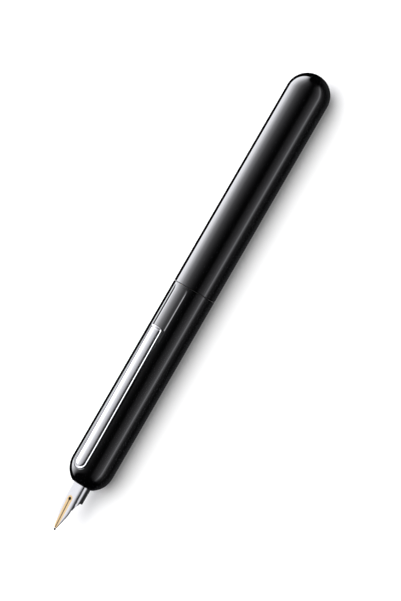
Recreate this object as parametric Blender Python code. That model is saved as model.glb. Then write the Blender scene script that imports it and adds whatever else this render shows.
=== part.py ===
"""A capless twist-action fountain pen whose nib slides out of the barrel, as separate pieces in metres.

The pen lies on z = 0 along X, with its nib towards -X and its clip towards +Z. A "station" is a
distance behind the front face of the barrel, so the nib has negative stations. A "height" is
measured upwards from the pen's axis.
"""

import math

import bmesh
import bpy

MM = 0.001

# Driving dimensions
BARREL_RADIUS = 6.85 * MM
BARREL_LENGTH = 140.0 * MM
NIB_REACH = 15.5 * MM
JOINT_STATION = 66.3 * MM
JOINT_GAP = 0.3 * MM
TRAVEL = 28.0 * MM
RUNNING_GAP = 0.15 * MM
SEGMENTS = 48
INNER_SEGMENTS = 32
SMALL_SEGMENTS = 16

# Barrel halves
FRONT_DOME_LENGTH = 7.2 * MM
MOUTH_RADIUS = 3.25 * MM
FRONT_BORE = 5.3 * MM
REAR_BORE = 5.9 * MM
DOME_STATION = BARREL_LENGTH - BARREL_RADIUS

# Clip and the channel that it lies in
CHANNEL_START = 4.1 * MM
CHANNEL_END = 65.5 * MM
CHANNEL_HALF_WIDTH = 2.25 * MM
CHANNEL_FLOOR = 5.8 * MM
CHANNEL_REAR_FLOOR = 6.5 * MM
CHANNEL_RISE_START = 31.0 * MM
CHANNEL_RISE_END = 50.0 * MM
CLIP_START = 4.4 * MM
CLIP_END = 51.6 * MM
CLIP_HALF_WIDTH = 2.0 * MM
CLIP_END_HALF_WIDTH = 1.95 * MM
CLIP_UNDERSIDE = 6.2 * MM
CLIP_END_UNDERSIDE = 6.85 * MM
CLIP_END_RISE = 0.6 * MM
CLIP_HINGE_STATION = 12.8 * MM
CLIP_HINGE_HEIGHT = 4.75 * MM
CLIP_PIN_RADIUS = 0.3 * MM
LUG_HALF_WIDTH = 0.7 * MM
LUG_HALF_LENGTH = 0.6 * MM

# Shutter: a slice of a hollow ball that turns on two pins and covers the mouth from inside
SHUTTER_STATION = 6.4 * MM
SHUTTER_OUTSIDE = 5.0 * MM
SHUTTER_INSIDE = 4.5 * MM
SHUTTER_OPEN_ANGLE = math.radians(-62)
SHUTTER_SPAN = math.radians(82)
SHUTTER_REACH = math.radians(75)
SHUTTER_PIN_RADIUS = 0.5 * MM
EAR_RADIUS = 1.35 * MM

# Nib unit
NIB_CROWN = 2.05 * MM
NIB_TIP_HEIGHT = 1.06 * MM
NIB_ARCH = 0.35 * MM
NIB_THICKNESS = 0.25 * MM
NIB_HALF_WIDTH = 2.45 * MM
NIB_TIP_RADIUS = 0.35 * MM
HOLE_STATION = -5.06 * MM
HOLE_RADIUS = 0.4 * MM
SLIT_WIDTH = 0.1 * MM
SLEEVE_RADIUS = 2.88 * MM
SLEEVE_INSIDE = 2.6 * MM
SLEEVE_TOP = 1.3 * MM
SLEEVE_FLAT = -2.1 * MM
SLEEVE_INNER_FLAT = -1.85 * MM

# Drive
CARRIAGE_RADIUS = 3.95 * MM
GUIDE_INSIDE = 4.15 * MM
GUIDE_OUTSIDE = 4.5 * MM
CAM_INSIDE = 4.65 * MM
CAM_OUTSIDE = 5.1 * MM
FOLLOWER_STATION = 30.0 * MM
FOLLOWER_RADIUS = 0.8 * MM
CAM_TURN = math.pi

# Converter
CONVERTER_RADIUS = 3.4 * MM
CONVERTER_INSIDE = 2.9 * MM
ROD_RADIUS = 0.9 * MM

AXIS_HEIGHT = BARREL_RADIUS * math.cos(math.pi / SEGMENTS)
FRONT_X = (NIB_REACH - BARREL_LENGTH) / 2


def point(station, y, height):
    """Places a point given by its station, its side offset and its height above the axis."""
    return (FRONT_X + station, y, AXIS_HEIGHT + height)


def clear_scene():
    for obj in list(bpy.data.objects):
        bpy.data.objects.remove(obj)


def finish_material(name, colour, roughness, metallic=0.0, transmission=0.0):
    material = bpy.data.materials.new(name)
    material.use_nodes = True
    shader = material.node_tree.nodes["Principled BSDF"]
    shader.inputs["Base Color"].default_value = (*colour, 1.0)
    shader.inputs["Roughness"].default_value = roughness
    shader.inputs["Metallic"].default_value = metallic
    shader.inputs["Transmission Weight"].default_value = transmission
    return material


def mesh_object(name, mesh, material):
    """Turns a closed bmesh into a named object with its faces pointing out."""
    bmesh.ops.recalc_face_normals(mesh, faces=mesh.faces)
    if mesh.calc_volume(signed=True) < 0:
        bmesh.ops.reverse_faces(mesh, faces=mesh.faces)
    data = bpy.data.meshes.new(name)
    mesh.to_mesh(data)
    mesh.free()
    data.shade_smooth()
    data.set_sharp_from_angle(angle=math.radians(35))
    obj = bpy.data.objects.new(name, data)
    bpy.context.scene.collection.objects.link(obj)
    if material:
        data.materials.append(material)
    return obj


def loft(name, rings, material, closed=False):
    """Joins rings of points one after another, and caps both ends unless the last meets the first."""
    mesh = bmesh.new()
    rows = [[mesh.verts.new(place) for place in ring] for ring in rings]
    count = len(rows[0])
    pairs = list(zip(rows, rows[1:]))
    if closed:
        pairs.append((rows[-1], rows[0]))
    for row, following in pairs:
        for index in range(count):
            after = (index + 1) % count
            mesh.faces.new((row[index], row[after], following[after], following[index]))
    if not closed:
        mesh.faces.new(rows[0])
        mesh.faces.new(rows[-1])
    return mesh_object(name, mesh, material)


def circle(station, radius, segments):
    """A ring round the pen's axis, with a flat facet at the bottom."""
    ring = []
    for index in range(segments):
        angle = 2 * math.pi * (index + 0.5) / segments
        ring.append(point(station, radius * math.cos(angle), radius * math.sin(angle)))
    return ring


def turned(name, outline, material, segments=INNER_SEGMENTS, closed=False):
    """Turns an outline of (station, radius) points round the pen's axis."""
    rings = [circle(station, radius, segments) for station, radius in outline]
    return loft(name, rings, material, closed)


def tube(name, start, end, inside, outside, material, segments=INNER_SEGMENTS):
    outline = [(start, outside), (end, outside), (end, inside), (start, inside)]
    return turned(name, outline, material, segments, closed=True)


def arc(centre, radius, start, end, steps, length=None):
    """(station, radius) points on an ellipse about the axis, between two angles from the rear."""
    along = length or radius
    points = []
    for step in range(steps + 1):
        angle = start + (end - start) * step / steps
        points.append((centre + along * math.cos(angle), radius * math.sin(angle)))
    return points


def rod_across(name, station, height, radius, start, end, material, segments=SMALL_SEGMENTS):
    """A round bar along Y."""
    rings = []
    for y in (start, end):
        ring = []
        for index in range(segments):
            angle = 2 * math.pi * (index + 0.5) / segments
            ring.append(point(station + radius * math.cos(angle), y, height + radius * math.sin(angle)))
        rings.append(ring)
    return loft(name, rings, material)


def block(name, start, end, half_width, bottom, top, material=None):
    """A box between two stations, centred on the pen's middle plane."""
    rings = []
    for station in (start, end):
        corners = ((-half_width, bottom), (half_width, bottom), (half_width, top), (-half_width, top))
        rings.append([point(station, y, height) for y, height in corners])
    return loft(name, rings, material)


def combine(target, helper, operation="DIFFERENCE"):
    """Cuts a helper out of a piece, or joins it on, and hides the helper."""
    helper.hide_render = True
    helper.display_type = "WIRE"
    modifier = target.modifiers.new(helper.name, "BOOLEAN")
    modifier.operation = operation
    modifier.solver = "EXACT"
    modifier.object = helper


def rounded_outline(start, end, half_width, end_half_width, start_radius, end_radius, middle=()):
    """(station, half width) points of a long strip whose two ends have rounded corners.

    The middle stations are where the strip's floor or top changes its slope.
    """
    points = []
    for degrees in (10, 25, 45, 65, 90):
        angle = math.radians(degrees)
        station = start + start_radius * (1 - math.cos(angle))
        points.append((station, half_width - start_radius * (1 - math.sin(angle))))
    for station in middle:
        points.append((station, ramp(station, start, end, half_width, end_half_width)))
    for degrees in (90, 60, 30, 0):
        angle = math.radians(degrees)
        station = end - end_radius * (1 - math.cos(angle))
        points.append((station, end_half_width - end_radius * (1 - math.sin(angle))))
    return points


def ramp(station, start, end, first, last):
    """A value that runs from first to last between two stations, and is level outside them."""
    share = min(max((station - start) / (end - start), 0), 1)
    return first + (last - first) * share


def channel_floor(station):
    """Radius of the channel's floor: deep below the clip's hinge, shallow behind its free end."""
    return ramp(station, CHANNEL_RISE_START, CHANNEL_RISE_END, CHANNEL_FLOOR, CHANNEL_REAR_FLOOR)


def clip_underside(station):
    return ramp(station, CLIP_HINGE_STATION, CLIP_END, CLIP_UNDERSIDE, CLIP_END_UNDERSIDE)


def clip_top(station):
    """Flush with the barrel at the hinge, and a little proud of it at the free end."""
    return barrel_surface(station) + ramp(station, CLIP_HINGE_STATION, CLIP_END, 0, CLIP_END_RISE)


def strip(name, outline, floor, top, material=None, columns=6):
    """A strip curved round the pen's axis; floor and top give its radii at a station."""
    rings = []
    for station, half_width in outline:
        offsets = [half_width * (2 * column / columns - 1) for column in range(columns + 1)]
        upper = [point(station, y, math.sqrt(top(station) ** 2 - y**2)) for y in offsets]
        lower = [point(station, y, math.sqrt(floor(station) ** 2 - y**2)) for y in offsets]
        rings.append(upper + lower[::-1])
    return loft(name, rings, material)


def barrel_surface(station):
    """Outside radius of the barrel, with the rounded front end."""
    ahead = front_dome_centre() - station
    if ahead <= 0:
        return BARREL_RADIUS
    return BARREL_RADIUS * math.sqrt(1 - (ahead / FRONT_DOME_LENGTH) ** 2)


def front_dome_centre():
    return FRONT_DOME_LENGTH * math.sqrt(1 - (MOUTH_RADIUS / BARREL_RADIUS) ** 2)


def front_barrel(lacquer):
    """Front half: rounded end with the mouth, ball-shaped shutter chamber, bore and clip channel."""
    groove_inside = 3.5 * MM
    groove_outside = 4.25 * MM
    groove_station = 1.8 * MM
    end = JOINT_STATION - JOINT_GAP / 2
    mouth_angle = math.pi - math.asin(MOUTH_RADIUS / BARREL_RADIUS)
    outside = arc(front_dome_centre(), BARREL_RADIUS, mouth_angle, math.pi / 2, 8, FRONT_DOME_LENGTH)
    groove_angle = math.pi - math.asin(groove_outside / FRONT_BORE)
    chamber = arc(SHUTTER_STATION, FRONT_BORE, math.pi / 2, groove_angle, 5)
    chamber_at_groove = SHUTTER_STATION - math.sqrt(FRONT_BORE**2 - groove_inside**2)
    chamber_at_mouth = SHUTTER_STATION - math.sqrt(FRONT_BORE**2 - MOUTH_RADIUS**2)
    outline = outside + [(end, BARREL_RADIUS), (end, FRONT_BORE)] + chamber
    outline += [(groove_station, groove_outside), (groove_station, groove_inside)]
    outline += [(chamber_at_groove, groove_inside), (chamber_at_mouth, MOUTH_RADIUS)]
    barrel = turned("front_barrel", outline, lacquer, SEGMENTS, closed=True)

    channel = rounded_outline(
        CHANNEL_START,
        CHANNEL_END,
        CHANNEL_HALF_WIDTH,
        CHANNEL_HALF_WIDTH,
        CHANNEL_HALF_WIDTH,
        0.3 * MM,
        (CHANNEL_RISE_START, CHANNEL_RISE_END),
    )
    above = BARREL_RADIUS + 2 * MM
    combine(barrel, strip("channel_cutter", channel, channel_floor, lambda s: above))
    room = LUG_HALF_LENGTH + 0.3 * MM
    slot = block(
        "lug_slot_cutter",
        CLIP_HINGE_STATION - room,
        CLIP_HINGE_STATION + room,
        LUG_HALF_WIDTH + RUNNING_GAP,
        FRONT_BORE - 0.6 * MM,
        CHANNEL_FLOOR + 0.2 * MM,
    )
    combine(barrel, slot)
    for side, sign in (("left", -1), ("right", 1)):
        hole = rod_across(
            f"shutter_pin_cutter_{side}",
            SHUTTER_STATION,
            0,
            SHUTTER_PIN_RADIUS + RUNNING_GAP,
            sign * 4.0 * MM,
            sign * 6.2 * MM,
            None,
        )
        combine(barrel, hole)
    return barrel


def mouth_seal(rubber):
    """Rubber ring that the closed shutter presses on."""
    outline = [(2.0, 3.62), (1.95, 3.75), (1.95, 4.0), (2.0, 4.12), (2.6, 4.12), (2.75, 4.0), (2.75, 3.75), (2.6, 3.62)]
    return turned("mouth_seal", [(s * MM, r * MM) for s, r in outline], rubber, closed=True)


def shutter(steel):
    """Slice of a hollow ball between two ears; it hangs below the nib unit while the nib is out."""
    steps_round = 12
    steps_across = 14
    rings = []
    for row in range(steps_across + 1):
        tilt = SHUTTER_REACH * (2 * row / steps_across - 1)
        outer, inner = [], []
        for step in range(steps_round + 1):
            turn = SHUTTER_OPEN_ANGLE - SHUTTER_SPAN * step / steps_round
            for radius, line in ((SHUTTER_OUTSIDE, outer), (SHUTTER_INSIDE, inner)):
                ahead = radius * math.cos(tilt) * math.cos(turn)
                height = radius * math.cos(tilt) * math.sin(turn)
                line.append(point(SHUTTER_STATION - ahead, radius * math.sin(tilt), height))
        rings.append(outer + inner[::-1])
    shell = loft("shutter", rings, steel)
    for side, sign in (("left", -1), ("right", 1)):
        ear = rod_across(
            f"shutter_ear_{side}", SHUTTER_STATION, 0, EAR_RADIUS, sign * 4.3 * MM, sign * 4.85 * MM, None
        )
        combine(shell, ear, "UNION")
        hole = rod_across(
            f"ear_hole_cutter_{side}",
            SHUTTER_STATION,
            0,
            SHUTTER_PIN_RADIUS + RUNNING_GAP,
            sign * 4.0 * MM,
            sign * 5.2 * MM,
            None,
        )
        combine(shell, hole)
    return shell


def shutter_pins(steel):
    pins = []
    for side, sign in (("left", -1), ("right", 1)):
        inner_end = sign * 4.15 * MM
        outer_end = sign * 6.05 * MM
        name = f"shutter_pin_{side}"
        pins.append(
            rod_across(name, SHUTTER_STATION, 0, SHUTTER_PIN_RADIUS, inner_end, outer_end, steel)
        )
    return pins


def clip(silver):
    """Clip blade that fills the front of the channel, with a lug that reaches down to the hinge pin."""
    outline = rounded_outline(
        CLIP_START,
        CLIP_END,
        CLIP_HALF_WIDTH,
        CLIP_END_HALF_WIDTH,
        CLIP_HALF_WIDTH,
        0.4 * MM,
        (CLIP_HINGE_STATION,),
    )
    blade = strip("clip", outline, clip_underside, clip_top, silver)
    lug = block(
        "clip_lug",
        CLIP_HINGE_STATION - LUG_HALF_LENGTH,
        CLIP_HINGE_STATION + LUG_HALF_LENGTH,
        LUG_HALF_WIDTH,
        CLIP_HINGE_HEIGHT - 0.6 * MM,
        CLIP_UNDERSIDE + 0.2 * MM,
    )
    combine(blade, lug, "UNION")
    combine(blade, hinge_hole("clip_pin_hole_cutter"))
    return blade


def hinge_hole(name):
    radius = CLIP_PIN_RADIUS + RUNNING_GAP
    return rod_across(name, CLIP_HINGE_STATION, CLIP_HINGE_HEIGHT, radius, -1.45 * MM, 1.45 * MM, None)


def hinge_ring(brass):
    """Ring behind the shutter chamber that carries the clip's hinge pin in a cross groove."""
    ring = tube("clip_hinge_ring", 11.7 * MM, 14.1 * MM, 4.1 * MM, 5.15 * MM, brass)
    slot = block(
        "ring_slot_cutter",
        11.9 * MM,
        13.7 * MM,
        LUG_HALF_WIDTH + RUNNING_GAP,
        3.9 * MM,
        5.4 * MM,
    )
    combine(ring, slot)
    combine(ring, hinge_hole("ring_pin_groove_cutter"))
    return ring


def clip_spring(steel):
    """Leaf spring in the channel that lifts the clip."""
    outline = [(15.0 * MM, 0.6 * MM), (16.0 * MM, 0.9 * MM), (29.0 * MM, 0.8 * MM), (30.0 * MM, 0.5 * MM)]
    return strip("clip_spring", outline, lambda s: 5.9 * MM, lambda s: 6.05 * MM, steel, columns=2)


def nib_crown(station):
    """Height of the nib's middle line: level at the back, then down to the tip."""
    level_until = -4.0 * MM
    if station >= level_until:
        return NIB_CROWN
    share = (level_until - station) / (level_until + NIB_REACH)
    return NIB_CROWN + (NIB_TIP_HEIGHT - NIB_CROWN) * share


def nib(gold):
    """Arched nib plate with shoulders, breather hole and slit."""
    outline = [
        (-14.65, 0.32),
        (-13.8, 0.7),
        (-10.8, 1.6),
        (-9.3, 2.15),
        (-8.6, 2.36),
        (-7.6, 2.45),
        (0.0, 2.45),
        (9.0, 2.45),
    ]
    columns = 8
    rings = []
    for station, half_width in [(s * MM, w * MM) for s, w in outline]:
        upper, lower = [], []
        for column in range(columns + 1):
            y = half_width * (2 * column / columns - 1)
            height = nib_crown(station) - NIB_ARCH * (y / NIB_HALF_WIDTH) ** 2
            upper.append(point(station, y, height))
            lower.append(point(station, y, height - NIB_THICKNESS))
        rings.append(upper + lower[::-1])
    plate = loft("nib", rings, gold)
    hole = [circle_flat(HOLE_STATION, HOLE_RADIUS, height) for height in (0.5 * MM, 3.0 * MM)]
    combine(plate, loft("breather_cutter", hole, None))
    slit = block("slit_cutter", -NIB_REACH, HOLE_STATION, SLIT_WIDTH / 2, 0.3 * MM, 2.6 * MM)
    combine(plate, slit)
    return plate


def circle_flat(station, radius, height, segments=SMALL_SEGMENTS):
    """A ring round a vertical line at a station."""
    ring = []
    for index in range(segments):
        angle = 2 * math.pi * (index + 0.5) / segments
        ring.append(point(station + radius * math.cos(angle), radius * math.sin(angle), height))
    return ring


def nib_tip(tip_metal):
    """Hard ball at the writing point."""
    centre = NIB_TIP_RADIUS - NIB_REACH
    height = NIB_TIP_HEIGHT - 0.12 * MM
    rings = []
    for degrees in range(0, 181, 20):
        angle = math.radians(min(max(degrees, 4), 176))
        radius = NIB_TIP_RADIUS * math.sin(angle)
        reach = NIB_TIP_RADIUS * math.cos(angle)
        if degrees in (0, 180):
            reach = math.copysign(NIB_TIP_RADIUS, reach)
        ring = []
        for index in range(SMALL_SEGMENTS):
            turn = 2 * math.pi * (index + 0.5) / SMALL_SEGMENTS
            ring.append(point(centre + reach, radius * math.cos(turn), height + radius * math.sin(turn)))
        rings.append(ring)
    return loft("nib_tip", rings, tip_metal)


def feed(plastic):
    """Ink feed under the nib: flat on top, half-round below, tapering forward to a point."""
    sections = [
        (-10.8, 0.25, 1.05, 0.9),
        (-8.0, 1.1, 1.25, 0.5),
        (-5.0, 1.6, 1.4, -0.6),
        (-2.0, 1.9, 1.35, -1.5),
        (0.0, 1.9, 1.2, -1.75),
        (24.2, 1.9, 1.2, -1.75),
    ]
    steps = 12
    rings = []
    for station, half_width, top, bottom in sections:
        ring = []
        for step in range(steps + 1):
            angle = math.pi * step / steps
            height = top - (top - bottom) * math.sin(angle)
            ring.append(point(station * MM, half_width * math.cos(angle) * MM, height * MM))
        rings.append(ring)
    return loft("feed", rings, plastic)


def nib_sleeve(silver):
    """Bright trough round the feed, open below the nib, with its front lip cut back underneath."""
    lip_station = -5.0 * MM
    flank_reach = 2.5 * MM
    flank_start = -1.5 * MM
    steps = 20

    def side(radius, flat):
        first = math.asin(SLEEVE_TOP / radius)
        places = []
        for step in range(steps + 1):
            angle = first - (math.pi + 2 * first) * step / steps
            places.append((radius * math.cos(angle), max(radius * math.sin(angle), flat)))
        return places

    section = side(SLEEVE_RADIUS, SLEEVE_FLAT) + side(SLEEVE_INSIDE, SLEEVE_INNER_FLAT)[::-1]
    front = []
    for y, height in section:
        share = max(0, height - flank_start) / (SLEEVE_TOP - flank_start)
        station = lip_station - flank_reach * share**2
        below_nib = nib_crown(station) - NIB_ARCH - NIB_THICKNESS - RUNNING_GAP
        front.append(point(station, y, min(height, below_nib)))
    rings = [front]
    for station in (-4.5 * MM, 15.2 * MM):
        rings.append([point(station, y, height) for y, height in section])
    return loft("nib_sleeve", rings, silver)


def section_holder(steel):
    """Front of the sliding carriage, which grips the nib unit and the two follower pins."""
    outline = [
        (13.4, 3.3),
        (14.1, 3.95),
        (33.0, 3.95),
        (33.0, 1.12),
        (24.6, 1.12),
        (24.6, 2.35),
        (15.6, 2.35),
        (15.6, 3.05),
        (13.4, 3.05),
    ]
    holder = turned("nib_holder", [(s * MM, r * MM) for s, r in outline], steel, closed=True)
    for side, sign in (("left", -1), ("right", 1)):
        hole = rod_across(
            f"follower_hole_cutter_{side}",
            FOLLOWER_STATION,
            0,
            FOLLOWER_RADIUS + 0.12 * MM,
            sign * 3.1 * MM,
            sign * 4.6 * MM,
            None,
        )
        combine(holder, hole)
    return holder


def follower_pins(steel):
    pins = []
    for side, sign in (("left", -1), ("right", 1)):
        inner_end = sign * 3.25 * MM
        outer_end = sign * 5.0 * MM
        name = f"follower_pin_{side}"
        pins.append(
            rod_across(name, FOLLOWER_STATION, 0, FOLLOWER_RADIUS, inner_end, outer_end, steel)
        )
    return pins


def ink_nipple(brass):
    """Tube that pierces the converter, with a flange against the nib holder."""
    outline = [
        (26.0, 1.0),
        (34.0, 1.0),
        (34.0, 3.3),
        (36.0, 3.3),
        (36.0, 1.0),
        (43.0, 0.9),
        (43.0, 0.5),
        (26.0, 0.5),
    ]
    return turned("ink_nipple", [(s * MM, r * MM) for s, r in outline], brass, closed=True)


def guide_tube(steel):
    """Fixed tube with two straight slots that stop the carriage from turning."""
    guide = tube("guide_tube", 14.4 * MM, 63.7 * MM, GUIDE_INSIDE, GUIDE_OUTSIDE, steel)
    half_width = FOLLOWER_RADIUS + RUNNING_GAP
    first = FOLLOWER_STATION - FOLLOWER_RADIUS - 0.2 * MM
    last = FOLLOWER_STATION + TRAVEL + FOLLOWER_RADIUS + 0.2 * MM
    combine(guide, block("guide_slot_cutter", first, last, 6.0 * MM, -half_width, half_width))
    return guide


def cam_sleeve(brass):
    """Turning sleeve with two spiral slots that push the follower pins along."""
    cam = tube("cam_sleeve", 24.6 * MM, 64.0 * MM, CAM_INSIDE, CAM_OUTSIDE, brass)
    pitch_radius = (CAM_INSIDE + CAM_OUTSIDE) / 2
    rise = math.atan2(TRAVEL, CAM_TURN * pitch_radius)
    half_length = (FOLLOWER_RADIUS + RUNNING_GAP) / math.cos(rise)
    overrun = (FOLLOWER_RADIUS + RUNNING_GAP) / CAM_INSIDE
    steps = 28
    for side, start in (("left", math.pi), ("right", 0.0)):
        rings = []
        for step in range(steps + 1):
            turn = -overrun + (CAM_TURN + 2 * overrun) * step / steps
            station = FOLLOWER_STATION + TRAVEL * turn / CAM_TURN
            ring = []
            for radius, shift in ((4.3, -1), (4.3, 1), (5.5, 1), (5.5, -1)):
                y = radius * MM * math.cos(start - turn)
                height = radius * MM * math.sin(start - turn)
                ring.append(point(station + shift * half_length, y, height))
            rings.append(ring)
        combine(cam, loft(f"spiral_slot_cutter_{side}", rings, None))
    return cam


def drive_collar(brass):
    """Collar behind the cam sleeve; the rear half of the barrel slides over it and turns it."""
    outline = [
        (64.3, 5.05),
        (66.4, 5.05),
        (66.4, 5.3),
        (78.4, 5.3),
        (79.0, 4.9),
        (79.0, 4.15),
        (64.3, 4.15),
    ]
    return turned("drive_collar", [(s * MM, r * MM) for s, r in outline], brass, closed=True)


def rear_barrel(lacquer):
    """Rear half: a long cup with a round closed end and a shallow seat for the joint washer."""
    start = JOINT_STATION + JOINT_GAP / 2
    seat_end = start + 0.9 * MM
    seat_radius = REAR_BORE + 0.25 * MM
    pole = math.radians(4)
    outside = arc(DOME_STATION, BARREL_RADIUS, pole, math.pi / 2, 9)
    outside[0] = (BARREL_LENGTH, outside[0][1])
    inside = arc(DOME_STATION, REAR_BORE, math.pi / 2, pole, 7)
    rim = [(start, BARREL_RADIUS), (start, seat_radius), (seat_end, seat_radius), (seat_end, REAR_BORE)]
    return turned("rear_barrel", outside + rim + inside, lacquer, SEGMENTS)


def converter_tube(clear_plastic):
    """Ink reservoir: a clear cup, closed at the front but for the nipple's hole."""
    outline = [(40.0, 3.1), (40.5, 3.4), (80.0, 3.4), (80.0, 2.9), (42.5, 2.9), (42.5, 1.25), (40.0, 1.25)]
    points = [(s * MM, r * MM) for s, r in outline]
    return turned("converter_tube", points, clear_plastic, closed=True)


def converter_knob(plastic):
    outline = [
        (91.4, 2.6),
        (92.0, 3.2),
        (107.2, 3.2),
        (108.0, 2.6),
        (108.0, 0.3),
        (107.6, 0.3),
        (104.0, 1.1),
        (91.4, 1.1),
    ]
    return turned("converter_knob", [(s * MM, r * MM) for s, r in outline], plastic, closed=True)


def piston(plastic):
    """Piston body with a groove for its seal."""
    outline = [(55.0, 2.3), (55.4, 2.7), (56.5, 2.7), (56.5, 1.9), (58.6, 1.9), (58.6, 2.7), (60.0, 2.7)]
    return turned("piston", [(s * MM, r * MM) for s, r in outline], plastic)


def joint_axis(name, station, height, children, parent=None):
    """An empty on a joint's axis that carries the pieces which move together."""
    empty = bpy.data.objects.new(name, None)
    empty.empty_display_size = 5 * MM
    empty.location = point(station, 0, height)
    bpy.context.scene.collection.objects.link(empty)
    bpy.context.view_layer.update()
    if parent:
        empty.parent = parent
        empty.matrix_parent_inverse = parent.matrix_world.inverted()
        bpy.context.view_layer.update()
    for child in children:
        child.parent = empty
        child.matrix_parent_inverse = empty.matrix_world.inverted()
    return empty


def build():
    clear_scene()
    lacquer = finish_material("black_lacquer", (0.008, 0.008, 0.009), 0.06)
    silver = finish_material("bright_silver", (0.78, 0.78, 0.79), 0.14, metallic=1.0)
    gold = finish_material("nib_gold", (0.85, 0.62, 0.28), 0.2, metallic=1.0)
    tip_metal = finish_material("tip_metal", (0.3, 0.29, 0.28), 0.35, metallic=1.0)
    brass = finish_material("brass", (0.72, 0.53, 0.24), 0.3, metallic=1.0)
    steel = finish_material("steel", (0.55, 0.56, 0.57), 0.3, metallic=1.0)
    rubber = finish_material("rubber", (0.02, 0.02, 0.02), 0.8)
    plastic = finish_material("black_plastic", (0.02, 0.02, 0.022), 0.35)
    clear_plastic = finish_material("clear_plastic", (0.9, 0.92, 0.93), 0.05, transmission=0.9)

    front_barrel(lacquer)
    mouth_seal(rubber)
    shutter_pins(steel)
    hinge_ring(brass)
    rod_across(
        "clip_hinge_pin",
        CLIP_HINGE_STATION,
        CLIP_HINGE_HEIGHT,
        CLIP_PIN_RADIUS,
        -1.3 * MM,
        1.3 * MM,
        steel,
        segments=12,
    )
    clip_spring(steel)
    guide_tube(steel)
    tube("guide_ring", 15.2 * MM, 18.2 * MM, 4.62 * MM, 5.18 * MM, brass)
    tube("cam_stop_ring", 23.0 * MM, 24.3 * MM, 4.62 * MM, 5.18 * MM, brass)

    joint_axis("shutter_axis", SHUTTER_STATION, 0, [shutter(steel)])
    joint_axis("clip_axis", CLIP_HINGE_STATION, CLIP_HINGE_HEIGHT, [clip(silver)])

    carriage_tube = tube("carriage_tube", 33.3 * MM, 62.0 * MM, 3.55 * MM, CARRIAGE_RADIUS, steel)
    converter_collar = tube("converter_collar", 80.3 * MM, 91.0 * MM, 1.15 * MM, 3.5 * MM, silver)
    carriage = [
        nib(gold),
        nib_tip(tip_metal),
        feed(plastic),
        nib_sleeve(silver),
        section_holder(steel),
        *follower_pins(steel),
        ink_nipple(brass),
        carriage_tube,
        converter_tube(clear_plastic),
        converter_collar,
    ]
    slide = joint_axis("nib_slide_axis", FOLLOWER_STATION, 0, carriage)
    joint_axis("converter_axis", 99.0 * MM, 0, [converter_knob(plastic)], slide)
    piston_seal = tube("piston_seal", 56.7 * MM, 58.4 * MM, 2.05 * MM, 2.78 * MM, rubber)
    piston_rod = turned("piston_rod", [(60.3 * MM, ROD_RADIUS), (101.0 * MM, ROD_RADIUS)], steel)
    joint_axis("piston_axis", 58.0 * MM, 0, [piston(plastic), piston_seal, piston_rod], slide)

    turning = [cam_sleeve(brass), drive_collar(brass)]
    twist = joint_axis("twist_axis", JOINT_STATION, 0, turning)
    insert = tube("barrel_insert", 68.0 * MM, 80.0 * MM, 5.5 * MM, 5.75 * MM, brass, SEGMENTS)
    washer = tube("joint_washer", 66.65 * MM, 67.15 * MM, 5.45 * MM, 6.0 * MM, rubber, SEGMENTS)
    joint_axis("pull_axis", JOINT_STATION, 0, [rear_barrel(lacquer), insert, washer], twist)


build()
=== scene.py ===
"""Looks of a capless fountain pen with a retractable nib: fine surfaces, materials, studio and camera.

A "station" is a distance behind the front face of the barrel, and a "height" is measured upwards from
the pen's axis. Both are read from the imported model. Angles round the axis start at the top, at the clip.
"""

import math

import bmesh
import bpy
from mathutils import Matrix, Vector


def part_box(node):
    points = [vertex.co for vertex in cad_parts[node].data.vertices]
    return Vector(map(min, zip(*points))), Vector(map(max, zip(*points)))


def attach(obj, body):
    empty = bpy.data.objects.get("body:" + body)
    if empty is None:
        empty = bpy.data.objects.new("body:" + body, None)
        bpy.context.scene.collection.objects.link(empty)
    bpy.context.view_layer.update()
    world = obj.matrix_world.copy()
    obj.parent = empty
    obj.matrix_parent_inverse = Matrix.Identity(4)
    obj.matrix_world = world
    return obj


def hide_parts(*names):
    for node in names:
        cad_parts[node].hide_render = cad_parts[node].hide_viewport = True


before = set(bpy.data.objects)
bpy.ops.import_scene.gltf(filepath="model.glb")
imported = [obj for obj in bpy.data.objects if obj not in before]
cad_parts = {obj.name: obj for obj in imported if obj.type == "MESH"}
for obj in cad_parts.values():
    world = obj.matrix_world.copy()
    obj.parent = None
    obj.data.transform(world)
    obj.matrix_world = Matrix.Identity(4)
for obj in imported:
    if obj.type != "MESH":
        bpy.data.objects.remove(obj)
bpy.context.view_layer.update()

MM = 0.001
TAU = 2 * math.pi

# The barrel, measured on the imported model
FRONT_LOW, FRONT_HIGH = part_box("front_barrel")
REAR_LOW, REAR_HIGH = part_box("rear_barrel")
FRONT_X = FRONT_LOW[0]
AXIS_Z = (REAR_LOW[2] + REAR_HIGH[2]) / 2
RADIUS = (REAR_HIGH[2] - REAR_LOW[2]) / 2
FRONT_END = FRONT_HIGH[0] - FRONT_X
REAR_START = REAR_LOW[0] - FRONT_X
BARREL_END = REAR_HIGH[0] - FRONT_X
FRONT_DOME_LENGTH = 7.2 * MM
MOUTH_RADIUS = 3.25 * MM
FRONT_BORE = 5.3 * MM
REAR_BORE = 5.9 * MM
SHUTTER_STATION = 6.4 * MM
RIM_RADIUS = 0.09 * MM
BARREL_SEGMENTS = 192
JOINT_CLOSING = 0.05 * MM  # how far each half's end face stands out into the joint's gap

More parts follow.
